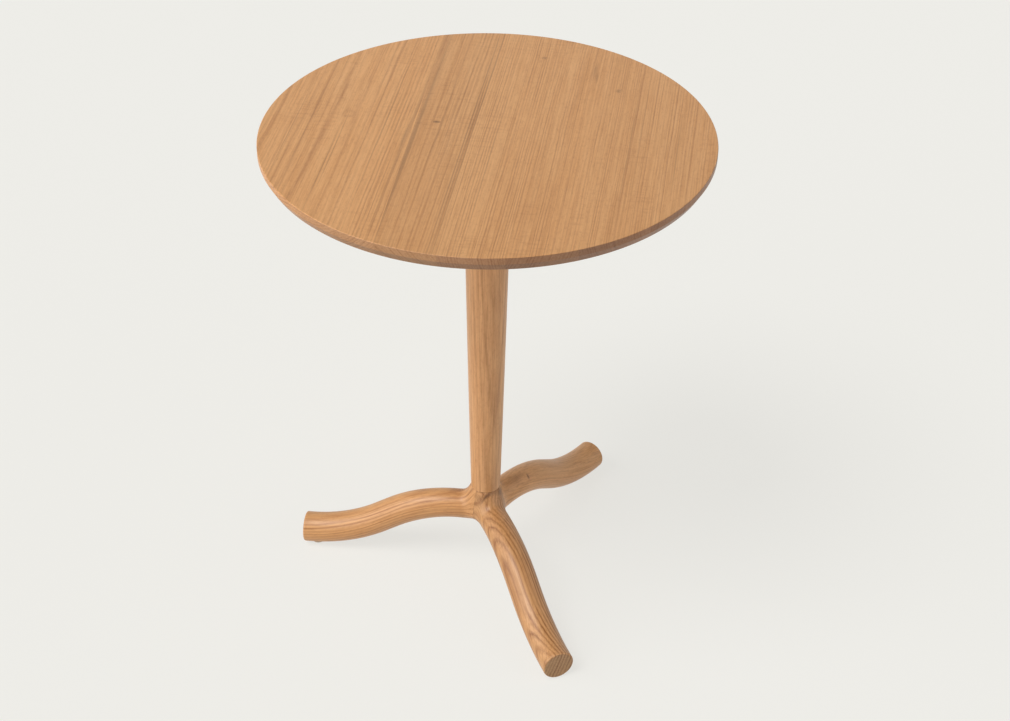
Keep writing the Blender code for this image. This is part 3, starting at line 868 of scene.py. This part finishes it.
@dataclass
class TableTop:
    """The top: seven staves glued edge to edge, turned round, with an undercut rim and a let-in plate."""

    grain_turn: float = radians(60.5)         # the glue lines' direction, from +X
    figure_turn: float = radians(59.4)        # the fibres' direction, from +X
    joint_shares: tuple[float, ...] = (-0.67, -0.33, -0.07, 0.20, 0.48, 0.75)
    band: float = 0.007                       # height of the rim's upright part
    undercut: float = 0.0045                  # how far the rim draws in below it
    arris: float = 0.0009
    low_arris: float = 0.0005
    recess_radius: float = 0.0603
    recess_depth: float = 0.0043
    rim_share: float = 0.9                    # what lies farther out than this share is the rim
    segments: int = 288
    origin_step: tuple[float, float] = (0.013, 0.007)  # keeps the staves' figures apart, in metres
    phase_step: float = 0.37                  # the same, in rings

    def __post_init__(self) -> None:
        """Takes the overall sizes from the frame."""
        self.radius = (CAD_HIGH.x - CAD_LOW.x) / 2
        self.top = CAD_HIGH.z
        self.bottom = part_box("top_stave_1")[0].z
        self.grain = Vector((cos(self.grain_turn), sin(self.grain_turn), 0))
        self.across = Vector((sin(self.grain_turn), -cos(self.grain_turn), 0))

    def blank(self) -> BMesh:
        """Makes the whole round top, before it is divided into staves.

        Returns:
            The closed shape.
        """
        bm = bmesh.new()
        start = Matrix.Translation((0, 0, self.bottom))
        low_radius = self.radius - self.undercut
        bmesh.ops.create_circle(bm, cap_ends=True, segments=self.segments, radius=low_radius, matrix=start)
        base = bm.faces[:]
        for height, radius in ((self.top - self.band, self.radius), (self.top, self.radius)):
            raised = bmesh.ops.extrude_face_region(bm, geom=base)["geom"]
            ring = only(raised, BMVert)
            base = only(raised, BMFace)
            factor = radius / ring[0].co.xy.length
            bmesh.ops.scale(bm, vec=(factor, factor, 1), verts=ring)
            bmesh.ops.translate(bm, vec=(0, 0, height - ring[0].co.z), verts=ring)
        return bm

    def let_in(self, bm: BMesh) -> None:
        """Sinks the round recess for the plate into the underside.

        Args:
            bm: The whole round top.
        """
        under = min(bm.faces, key=lambda face: face.calc_center_median().z)
        inset = self.radius - self.undercut - self.recess_radius
        bmesh.ops.inset_region(bm, faces=[under], thickness=inset, use_even_offset=True)
        sunk = bmesh.ops.extrude_face_region(bm, geom=[under])
        ring = only(sunk["geom"], BMVert)
        bmesh.ops.translate(bm, vec=(0, 0, self.recess_depth), verts=ring)

    def outer(self, edges: list[BMEdge]) -> list[BMEdge]:
        """Those of the edges that lie on the rim."""
        return [edge for edge in edges if edge.verts[0].co.xy.length > self.radius * self.rim_share]

    def stave(self, number: int) -> BMesh:
        """Cuts one stave out of the whole top at its glue lines.

        Args:
            number: The stave's number, from 0 at the left of the grain.

        Returns:
            The stave's closed shape.
        """
        bm = self.blank()
        self.let_in(bm)
        edges = level_edges(bm, self.top) + level_edges(bm, self.top - self.band)
        rounded(bm, self.outer(edges), self.arris)
        rounded(bm, self.outer(level_edges(bm, self.bottom)), self.low_arris)
        joints = [share * self.radius for share in self.joint_shares]
        cuts = []
        if number > 0:
            cuts.append((joints[number - 1], -self.across))
        if number < len(joints):
            cuts.append((joints[number], self.across))
        for offset, outward in cuts:
            geometry = bm.verts[:] + bm.edges[:] + bm.faces[:]
            cut = bmesh.ops.bisect_plane(
                bm, geom=geometry, dist=TOUCHING, plane_co=self.across * offset, plane_no=outward,
                clear_outer=True,
            )
            bmesh.ops.holes_fill(bm, edges=only(cut["geom_cut"], BMEdge))
        return bm

    def mark(self, along: float, across: float, *sizes: float) -> Blemish:
        """A blemish by its place along and across the glue lines, its length, width, stain and push."""
        place = self.grain * along + self.across * across + UP * self.top
        return Blemish(tuple(place), *sizes)

    def marks(self) -> dict[int, tuple[Blemish, ...]]:
        """Places the marks that show on the upper face.

        Returns:
            The marks of each stave, by its number.
        """
        over_joint = self.mark(0.0, -0.0153, 0.45, 0.0012, 0.50)
        return {
            0: (
                self.mark(-0.02, -0.1925, 0.16, 0.0010, 0.35),
                self.mark(-0.02, -0.1775, 0.18, 0.0010, 0.30),
            ),
            1: (
                self.mark(-0.09, -0.1475, 0.13, 0.0012, 0.40),
                self.mark(-0.05, -0.1435, 0.12, 0.0009, 0.35),
                self.mark(0.022, -0.143, 0.012, 0.008, 0.06, 0.0015),
                self.mark(0.0, -0.1035, 0.24, 0.0012, 0.30),
                self.mark(0.0, -0.0785, 0.32, 0.0026, 0.26),            # left half of the double streak
                self.mark(-0.015, -0.0805, 0.05, 0.0016, 0.40),
            ),
            2: (
                self.mark(0.0, -0.0706, 0.36, 0.0028, 0.48),            # its right half
                self.mark(-0.06, -0.0740, 0.12, 0.0030, 0.20),
                self.mark(0.0175, -0.0535, 0.0035, 0.0060, 0.80, 0.0035),   # the knot
                self.mark(0.02, -0.0475, 0.22, 0.0010, 0.35),
                self.mark(0.0, -0.0185, 0.40, 0.0045, 0.07),            # the group of three lines
                self.mark(0.0, -0.0203, 0.40, 0.0010, 0.45),
                self.mark(0.0, -0.0180, 0.40, 0.0010, 0.40),
                over_joint,
            ),
            3: (
                over_joint,
                self.mark(-0.05, 0.0080, 0.20, 0.0010, 0.25),
                self.mark(0.172, 0.037, 0.005, 0.004, 0.35, 0.002),
            ),
            4: (
                self.mark(0.150, 0.0930, 0.030, 0.0045, 0.30, 0.0012),
                self.mark(0.135, 0.0960, 0.018, 0.0022, 0.35),
            ),
            5: (
                self.mark(0.109, 0.1195, 0.006, 0.005, 0.40, 0.0035),
                self.mark(0.0, 0.1385, 0.20, 0.0012, 0.35),
                self.mark(0.03, 0.1485, 0.16, 0.0011, 0.28),
            ),
            6: (self.mark(-0.01, 0.1855, 0.12, 0.0012, 0.30),),
        }

    def boards(self) -> list[Board]:
        """Describes the seven boards.

        Returns:
            The boards, from the left of the grain to its right.
        """
        tones = WoodTones(
            pale=srgb(219, 165, 110), warm=srgb(208, 150, 93), stain_and_shade=srgb(98, 64, 32),
            end_grain=(0.72, 0.76, 0.86),
        )
        marks = self.marks()
        fibres = (cos(self.figure_turn), sin(self.figure_turn), 0.0)
        boards = []
        for number, cut in enumerate(STAVES):
            lean = radians(cut.lean)
            x_step, y_step = self.origin_step
            boards.append(Board(
                name=f"oiled_stave_{number + 1}",
                grain=fibres,
                ring_normal=tuple(self.across * cos(lean) + UP * sin(lean)),
                origin=(x_step * number, y_step * number, self.top),
                pitch=cut.pitch,
                phase=self.phase_step * number,
                sway=0.0022,
                ring_depth=cut.ring_depth,
                ring_low=cut.ring_low,
                fibre_depth=0.38,
                wave_depth=0.3,
                warmth=cut.warmth,
                edge=cut.edge,
                tones=tones.at(cut.shade),
                blemishes=marks[number],
            ))
        return boards

    def build(self) -> None:
        """Makes the seven staves in place of the CAD ones."""
        for number, board in enumerate(self.boards()):
            node = f"top_stave_{number + 1}"
            add_piece(self.stave(number), f"stave_{number + 1}", board.material(), "top_wood", node)


class LegSide(Enum):
    """The three legs, each with its direction, the lean of its rings and how far it is straightened."""

    FRONT = (-90, -32, 0.0)
    RIGHT = (30, -60, 0.6)
    LEFT = (150, 100, 0.85)

    def __init__(self, azimuth: float, ring_lean: float, straightened: float) -> None:
        """Names the member's numbers.

        Args:
            azimuth: The direction in which the leg runs, in degrees from +X.
            ring_lean: How far its rings lean, in degrees.
            straightened: How far its grain follows its bends, from 0 to 1.
        """
        self.azimuth = radians(azimuth)
        self.ring_lean = radians(ring_lean)
        self.straightened = straightened


@dataclass
class Leg:
    """A round leg: mitred and carved into its neighbours, bent down in an S and cut square at the floor."""

    side: LegSide
    reach: float = 0.210
    diameter: float = 0.0344
    hub_diameter: float = 0.0326
    swell_run: float = 0.070                  # how far it takes to swell from the hub's diameter to its own
    arris: float = 0.0018
    arris_share: float = 0.98                 # keeps the end's rounding short of the next ring
    arris_segments: int = 6
    level_run: float = 0.0025                 # between the web and the first bend
    hub_height: float = 0.075
    bend_share: float = 0.99                  # of the largest bends that fit
    upper_bend_share: float = 0.475           # of the two bends' radii together
    web_length: float = 0.016                 # beyond the crease of two plain cylinders
    ridge_breadth: float = 1e-3               # narrower than this, a point lies on the ridge
    standoff: float = 0.0008                  # the end's height above the floor
    column_foot_radius: float = 0.0163        # where the sweep to the shoulder ends
    shoulder_reach: float = 0.032             # where it starts
    sweep_shares: tuple[float, ...] = (0.62, 0.5, 0.4, 0.31, 0.23, 0.16, 0.1, 0.05, 0.015, -0.1, -0.3, -0.6)
    glue_line: float = 0.00012                # how far the mitre faces stay back from the joint
    bolt_seat_radius: float = 0.0088
    bolt_seat_depth: float = 0.006
    sides: int = 96
    web_steps: int = 28
    bend_steps: int = 40

    def __post_init__(self) -> None:
        """Works out the course of the leg's centre line, with the leg along +X."""
        self.hub_radius = self.hub_diameter / 2
        self.sweep_width = self.shoulder_reach - self.column_foot_radius
        self.foot_height = self.diameter / 2 + self.standoff
        self.start = self.hub_radius / ROOT_3 + self.web_length + self.level_run
        self.end = self.reach - self.arris
        run = self.end - self.start
        drop = self.hub_height - self.foot_height
        chord_squared = run**2 + drop**2
        bends = self.bend_share * chord_squared / (2 * drop)
        self.straight = sqrt(chord_squared - 2 * drop * bends)
        self.slope = atan2(drop - bends, run) + atan2(bends, self.straight)
        self.upper_bend = self.upper_bend_share * bends
        self.lower_bend = bends - self.upper_bend
        self.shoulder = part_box(f"leg_{self.side.name.lower()}")[1].z
        self.turn = Matrix.Rotation(self.side.azimuth, 3, "Z")

    def web_point(self, co: Vector, part: float) -> Vector:
        """Where a point of the round leg goes in the carved web.

        In plan each line of the leg leaves its straight run and turns out to meet its neighbour's line
        square to the mitre, on a parabola whose corner is the crease between two plain cylinders. The web
        is full at the leg's sides and dies out on its back and belly.

        Args:
            co: A point of the round section, whose height and side are kept.
            part: 0 on the mitres, 1 where the web starts.

        Returns:
            The point's place in the web.
        """
        lift = min(1.0, abs(co.z - self.hub_height) / self.hub_radius)
        breadth = sqrt(1 - lift**2)
        width = self.hub_radius * breadth
        web = self.web_length * breadth**2
        along = (1 - part) / 2
        crease = Vector((width / ROOT_3, width))
        start = crease + Vector((web, 0))
        mirrored = crease + Vector((-web / 2, web * ROOT_3 / 2))
        place = start * (1 - along) ** 2 + crease * 2 * along * (1 - along) + mirrored * along**2
        place.x += self.level_run / 2 * part**2
        inset = self.glue_line * (1 - part)
        if breadth < self.ridge_breadth:
            return Vector((place.x + inset * 2 / ROOT_3, 0.0, co.z))
        place += Vector((inset * ROOT_3 / 2, -inset / 2))
        return Vector((place.x, place.y if co.y > 0 else -place.y, co.z))

    def carve_web(self, bm: BMesh, ring: list[BMEdge]) -> None:
        """Carries a round section inwards through the web to the two mitre faces.

        Args:
            bm: The mesh that holds the section.
            ring: The edges of the round section where the web starts.
        """
        ridge_start = self.level_run / 2
        for sweep_share in self.sweep_shares:
            verts, ring = grown(bm, ring)
            distance = self.column_foot_radius + self.sweep_width * sweep_share
            share = (self.start - distance) / (self.start - ridge_start)
            for vert in verts:
                web_start = self.web_point(vert.co, 1.0)
                vert.co.x = self.start + (web_start.x - self.start) * share
        for step in range(self.web_steps + 1):
            verts, ring = grown(bm, ring)
            for vert in verts:
                vert.co = self.web_point(vert.co, 1 - step / self.web_steps)
        ridge = [vert for vert in verts if abs(vert.co.y) < TOUCHING]
        middle = bm.edges.new(ridge)
        for sign in (1, -1):
            half = [edge for edge in ring if sign * sum(vert.co.y for vert in edge.verts) > 0]
            bmesh.ops.contextual_create(bm, geom=half + [middle])

    def first_section(self, bm: BMesh) -> list[BMEdge]:
        """Makes the round section where the web starts.

        Args:
            bm: An empty mesh.

        Returns:
            The section's edges.
        """
        place = Matrix.Translation((self.start, 0, self.hub_height)) @ Matrix.Rotation(pi / 2, 4, "Y")
        bmesh.ops.create_circle(bm, cap_ends=False, segments=self.sides, radius=self.hub_radius, matrix=place)
        return bm.edges[:]

    def fit_section(self, bm: BMesh, verts: list[BMVert]) -> None:
        """Swells a section to the leg's radius at its distance from the hub.

        Args:
            bm: The leg's mesh.
            verts: The section's vertices.
        """
        centre = sum((vert.co for vert in verts), Vector()) / len(verts)
        share = min(1.0, (centre.x - self.start) / self.swell_run)
        swell = (self.diameter / 2 - self.hub_radius) * share**2 * (3 - 2 * share)
        factor = (self.hub_radius + swell) / (verts[0].co - centre).length
        bmesh.ops.scale(bm, vec=(factor,) * 3, space=Matrix.Translation(-centre), verts=verts)

    def bend(self, bm: BMesh, ring: list[BMEdge], centre: Point, axis: Point) -> list[BMEdge]:
        """Spins the section through one bend of the S.

        Args:
            bm: The leg's mesh.
            ring: The edges of the section where the bend starts.
            centre: A point on the axis of the bend.
            axis: The direction of that axis.

        Returns:
            The edges of the section where the bend ends.
        """
        for _ in range(self.bend_steps):
            turned_ring = bmesh.ops.spin(
                bm, geom=ring, cent=centre, axis=axis, angle=self.slope / self.bend_steps, steps=1
            )["geom_last"]
            ring = only(turned_ring, BMEdge)
            self.fit_section(bm, only(turned_ring, BMVert))
        return ring

    def sweep_up(self, bm: BMesh) -> None:
        """Lifts the leg's back towards the shoulder, and notes every point's place on the leg's course.

        Args:
            bm: The leg along +X.
        """
        layer = bm.verts.layers.float_vector.new(COURSE)
        for vert in bm.verts:
            place = self.course_place(vert.co)
            share = (hypot(vert.co.x, vert.co.y) - self.column_foot_radius) / self.sweep_width
            sweep = (1 - min(max(share, 0), 1)) ** 3
            above = min(max(4 * (vert.co.z - self.hub_height) / self.hub_diameter, 0), 1)
            lift = (self.shoulder - vert.co.z) * sweep * above
            vert.co.z += lift
            vert[layer] = place + UP * lift * (1 - self.side.straightened)

    def course_height(self, distance: float) -> float:
        """The height of the leg's centre line.

        Args:
            distance: How far from the column's axis.

        Returns:
            The height there.
        """
        upper_end = self.start + self.upper_bend * sin(self.slope)
        lower_start = self.end - self.lower_bend * sin(self.slope)
        if distance < upper_end:
            turn = asin(max(0.0, distance - self.start) / self.upper_bend)
            return self.hub_height - self.upper_bend * (1 - cos(turn))
        if distance > lower_start:
            turn = asin(max(0.0, self.end - distance) / self.lower_bend)
            return self.foot_height + self.lower_bend * (1 - cos(turn))
        height = self.hub_height - self.upper_bend * (1 - cos(self.slope))
        return height - (distance - upper_end) * sin(self.slope) / cos(self.slope)

    def course_place(self, co: Vector) -> Vector:
        """A point of the leg along +X, with its bends straightened by the leg's share."""
        drop = self.course_height(co.x) - self.hub_height
        return Vector((co.x, co.y, co.z - self.side.straightened * drop))

    def bolt_seat(self) -> BMesh:
        """Makes what is bored out of the hub's underside for the bolt.

        Returns:
            The bore's closed shape.
        """
        bottom = self.hub_height - self.hub_radius
        depth = self.bolt_seat_depth
        return disc(self.bolt_seat_radius, bottom - depth, bottom + depth, BORE_SEGMENTS)

    def mesh(self) -> BMesh:
        """Makes the whole leg, turned to its side of the table.

        Returns:
            The leg's closed shape.
        """
        bm = bmesh.new()
        section = self.first_section(bm)
        ring = self.bend(bm, section, (self.start, 0, self.hub_height - self.upper_bend), (0, 1, 0))
        verts, ring = grown(bm, ring)
        step = Vector((cos(self.slope), 0, -sin(self.slope))) * self.straight
        bmesh.ops.translate(bm, vec=step, verts=verts)
        ring = self.bend(bm, ring, (self.end, 0, self.foot_height + self.lower_bend), (0, -1, 0))
        verts, ring = grown(bm, ring)
        bmesh.ops.translate(bm, vec=(self.arris, 0, 0), verts=verts)
        bmesh.ops.contextual_create(bm, geom=ring)
        rounded(bm, ring, self.arris * self.arris_share, self.arris_segments)
        self.carve_web(bm, section)
        bm = carved(bm, self.bolt_seat())
        self.sweep_up(bm)
        bmesh.ops.rotate(bm, cent=(0, 0, 0), matrix=self.turn, verts=bm.verts)
        return bm

    def board(self) -> Board:
        """Describes the board that the leg was sawn from, in the leg's own course.

        Returns:
            The board.
        """
        dip = self.slope * (1 - self.side.straightened)
        lean = self.side.ring_lean
        plain = Board(
            name=f"oiled_{self.side.name.lower()}_leg",
            grain=(cos(dip), 0.0, -sin(dip)),
            ring_normal=(0.0, cos(lean), sin(lean)),
            origin=(0.1, 0.0, self.hub_height),
            course=COURSE,
            end_axis=tuple(self.turn @ Vector((cos(self.slope), 0, -sin(self.slope)))),
            pitch=0.0038,
            warmth=-0.12,
            rough=0.31,
        )
        if self.side is LegSide.FRONT:
            # a thin dark line across the shoulder, along the edge of the column's foot
            foot_line = Blemish((0.0167, -0.0055, 0.1015), 0.0017, 0.0150, 0.90, level=True)
            # painted shade in the hollows to the left and right of the column's foot
            left_painted_shade = Blemish((0.0115, -0.0125, 0.0990), 0.0070, 0.0060, 0.35)
            right_painted_shade = Blemish((0.0135, 0.0115, 0.1015), 0.0070, 0.0070, 0.65)
            tones = WoodTones(ring=srgb(134, 80, 36), stain_and_shade=srgb(100, 62, 34), end_grain=(0.75, 0.83, 0.97))
            return replace(
                plain, origin=(0.159, -0.0135, 0.0365), phase=0.4, pith=0.25, sway=0.0006, uneven=0.25,
                ring_depth=0.92, ring_low=0.75, blemishes=(foot_line, left_painted_shade, right_painted_shade),
                tones=tones.at(0.88),
            )
        if self.side is LegSide.LEFT:
            return replace(
                plain, phase=0.3, pith=0.2, sway=0.0012, uneven=0.2, ring_depth=0.75, ring_low=0.7
            )
        knot_place = tuple(self.course_place(Vector((0.0636, -0.012, 0.0826))))
        knot = Blemish(knot_place, 0.0024, 0.0052, 0.85, 0.002)
        hub_stain = Blemish((0.050, -0.006, 0.087), 0.020, 0.0070, 0.5)
        return replace(
            plain, pitch=0.0040, pith=0.12, uneven=0.5, blemishes=(knot, hub_stain),
            tones=WoodTones(stain_and_shade=srgb(112, 66, 40)).at(1.12),
        )

    def build(self) -> None:
        """Makes the leg in place of the CAD one."""
        name = self.side.name.lower()
        add_piece(self.mesh(), f"{name}_leg", self.board().material(), "leg_wood", f"leg_{name}")


@dataclass
class Column:
    """The turned column, tapered in one long curve, which stands on the legs' shoulder."""

    top_diameter: float = 0.049
    middle_diameter: float = 0.0416
    foot_diameter: float = 0.0326
    arris: float = 0.0008
    foot_arris: float = 0.0002
    foot_segments: int = 2
    glue_line: float = 0.0001
    segments: int = 112
    steps: int = 110

    def __post_init__(self) -> None:
        """Takes the heights from the frame."""
        self.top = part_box("column")[1].z
        self.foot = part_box("leg_front")[1].z + self.glue_line

    def radius(self, height: float) -> float:
        """The column's radius at a height, on one curve through three diameters."""
        share = (self.top - height) / (self.top - self.foot)
        return (
            self.top_diameter / 2 * (1 - share) * (1 - 2 * share)
            + self.middle_diameter / 2 * 4 * share * (1 - share)
            + self.foot_diameter / 2 * share * (2 * share - 1)
        )

    def mesh(self) -> BMesh:
        """Turns the column from a plain blank.

        Returns:
            The column's closed shape.
        """
        bm = disc(self.top_diameter / 2, self.foot, self.top, self.segments)
        uprights = [edge for edge in bm.edges if abs(edge.verts[0].co.z - edge.verts[1].co.z) > self.arris]
        bmesh.ops.subdivide_edges(bm, edges=uprights, cuts=self.steps)
        for vert in bm.verts:
            factor = self.radius(vert.co.z) / vert.co.xy.length
            vert.co.x *= factor
            vert.co.y *= factor
        rounded(bm, level_edges(bm, self.top), self.arris)
        rounded(bm, level_edges(bm, self.foot), self.foot_arris, self.foot_segments)
        return bm

    def board(self) -> Board:
        """The board that the column was turned from, flat-sawn towards the front."""
        return Board(
            name="oiled_column",
            grain=(0.0, 0.0, 1.0),
            ring_normal=(0.05, -1.0, 0.0),
            origin=(0.001, -0.0187, 0.215),
            pitch=0.0030,
            pith=0.06,
            sway=0.0014,
            uneven=0.3,
            ring_depth=0.62,
            ring_low=0.45,
            warmth=-0.04,
            tones=WoodTones(pale=srgb(219, 168, 117), warm=srgb(208, 151, 99)),
        )

    def build(self) -> None:
        """Makes the column in place of the CAD one."""
        add_piece(self.mesh(), "turned_column", self.board().material(), "column_wood", "column")


@dataclass
class Fittings:
    """What holds the table together and shows only from below, or not at all."""

    screws: int = 6
    blacked: MetalFinish = MetalFinish("blacked_steel", srgb(34, 34, 35), srgb(58, 57, 56), 0.0, 0.5)
    zinc: MetalFinish = MetalFinish(
        "zinc_plated_steel", srgb(170, 172, 174), srgb(140, 141, 142), roughness=0.32, grain=0.002
    )
    brass: MetalFinish = MetalFinish(
        "turned_brass", srgb(201, 165, 96), srgb(176, 138, 74), roughness=0.3, grain=0.003
    )
    nylon: PlasticFinish = PlasticFinish("beige_nylon", srgb(206, 186, 158), srgb(188, 166, 138))
    beech: Board = Board("planed_beech", (0.0, 1.0, 0.0), (0.0, 0.0, 1.0), pitch=0.0022, ring_depth=0.3)

    def dress(self, material: Material, *nodes: str) -> None:
        """Gives carried-over CAD nodes a finish.

        Args:
            material: The finish.
            *nodes: The nodes' names.
        """
        for node in nodes:
            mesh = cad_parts[node].data
            mesh.materials.clear()
            mesh.materials.append(material)

    def build(self) -> None:
        """Dresses the plate, screws, bolts, inserts, dowels and glides."""
        screws = [f"plate_screw_{number}" for number in range(1, self.screws + 1)]
        dowels = [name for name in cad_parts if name.startswith("dowel_")]
        glides = [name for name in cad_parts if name.startswith("glide_")]
        self.dress(self.blacked.material(), "mounting_plate")
        self.dress(self.zinc.material(), "plate_bolt", "hub_bolt", "hub_washer", *screws)
        self.dress(self.brass.material(), "insert_top", "insert_foot")
        self.dress(self.beech.material(), *dowels)
        self.dress(self.nylon.material(), *glides)


@dataclass(frozen=True)
class Sun:
    """A soft sun.

    Attributes:
        name: The lamp's name.
        level: The share of full light that it gives a face turned to it.
        azimuth: The direction that it comes from, in degrees from +X.
        elevation: Its height above the horizon, in degrees.
        breadth: How wide it looks from the table, in degrees.
    """

    name: str
    level: float
    azimuth: float
    elevation: float
    breadth: float

    def build(self) -> None:
        """Puts the lamp into the scene."""
        lamp = bpy.data.lights.new(self.name, "SUN")
        lamp.energy = self.level * pi
        lamp.angle = radians(self.breadth)
        turn, rise = radians(self.azimuth), radians(self.elevation)
        source = Vector((cos(turn) * cos(rise), sin(turn) * cos(rise), sin(rise)))
        placed(self.name, lamp).rotation_euler = source.to_track_quat("Z", "Y").to_euler()


@dataclass
class Studio:
    """A plain pale floor, an even sky, three soft suns and the camera."""

    paper: Colour = srgb(237, 236, 231)
    paper_glow: float = 0.8                   # how much of the seen floor is the paper's own colour
    paper_lift: float = 1.03                  # the level at which that colour shows
    floor_radius: float = 40.0
    floor_segments: int = 96
    sky_level: float = 0.17                   # the sky's share of full light
    suns: tuple[Sun, ...] = (
        Sun("left_softbox", 0.69, 180, 20, 70),
        Sun("high_softbox", 0.47, 192, 60, 28),
        Sun("right_softbox", 0.24, -42, 20, 70),
    )
    focal_length: float = 65.188
    sensor_width: float = 36.0
    camera_place: Point = (-0.59324, -1.46453, 1.41772)
    camera_turn: float = radians(-22.769)
    camera_pitch: float = radians(35.825)
    camera_roll: float = radians(0.783)

    def floor(self) -> None:
        """A pale floor that goes on past every view and keeps a light shadow."""
        bm = bmesh.new()
        bmesh.ops.create_circle(bm, cap_ends=True, segments=self.floor_segments, radius=self.floor_radius)
        floor = placed("floor", own_mesh(bm, "floor"))
        paper = (*self.paper, 1.0)
        sheet = NodeSheet(bpy.data.materials.new("pale_floor"))
        sheet.shade({"Base Color": paper, "Roughness": 1.0, "Specular IOR Level": 0.0})
        seen = sheet.node("ShaderNodeEmission", {"Color": paper, "Strength": self.paper_lift})
        share = sheet.maths("MULTIPLY", sheet.looked_at(), self.paper_glow)
        sheet.show_over(share, seen, "Material Output")
        floor.data.materials.append(sheet.owner)

    def world(self) -> None:
        """An even sky that lights at its own level and shows as the paper's colour."""
        world = bpy.data.worlds.new("studio")
        bpy.context.scene.world = world
        sheet = NodeSheet(world, "Background")
        sheet.shade({"Color": WHITE, "Strength": self.sky_level})
        seen = sheet.node("ShaderNodeBackground", {"Color": (*self.paper, 1.0)})
        sheet.show_over(sheet.looked_at(), seen, "World Output")

    def camera(self) -> None:
        """The camera, at the photograph's viewing angle."""
        lens = bpy.data.cameras.new("camera")
        lens.lens = self.focal_length
        lens.sensor_width = self.sensor_width
        holder = placed("camera", lens)
        holder.location = self.camera_place
        base = Matrix.Rotation(self.camera_turn, 4, "Z") @ Matrix.Rotation(pi / 2 - self.camera_pitch, 4, "X")
        holder.rotation_euler = (base @ Matrix.Rotation(self.camera_roll, 4, "Z")).to_euler()
        bpy.context.scene.camera = holder

    def build(self) -> None:
        """Sets up the camera, the floor and the light."""
        self.camera()
        self.floor()
        self.world()
        for sun in self.suns:
            sun.build()
        bpy.context.scene.view_settings.view_transform = "Standard"


def main() -> None:
    """Builds the studio, then the table from the top down."""
    logging.basicConfig(level=logging.INFO, format="%(name)s: %(message)s")
    Studio().build()
    TableTop().build()
    Column().build()
    for side in LegSide:
        Leg(side).build()
    Fittings().build()


if __name__ == "__main__":
    main()
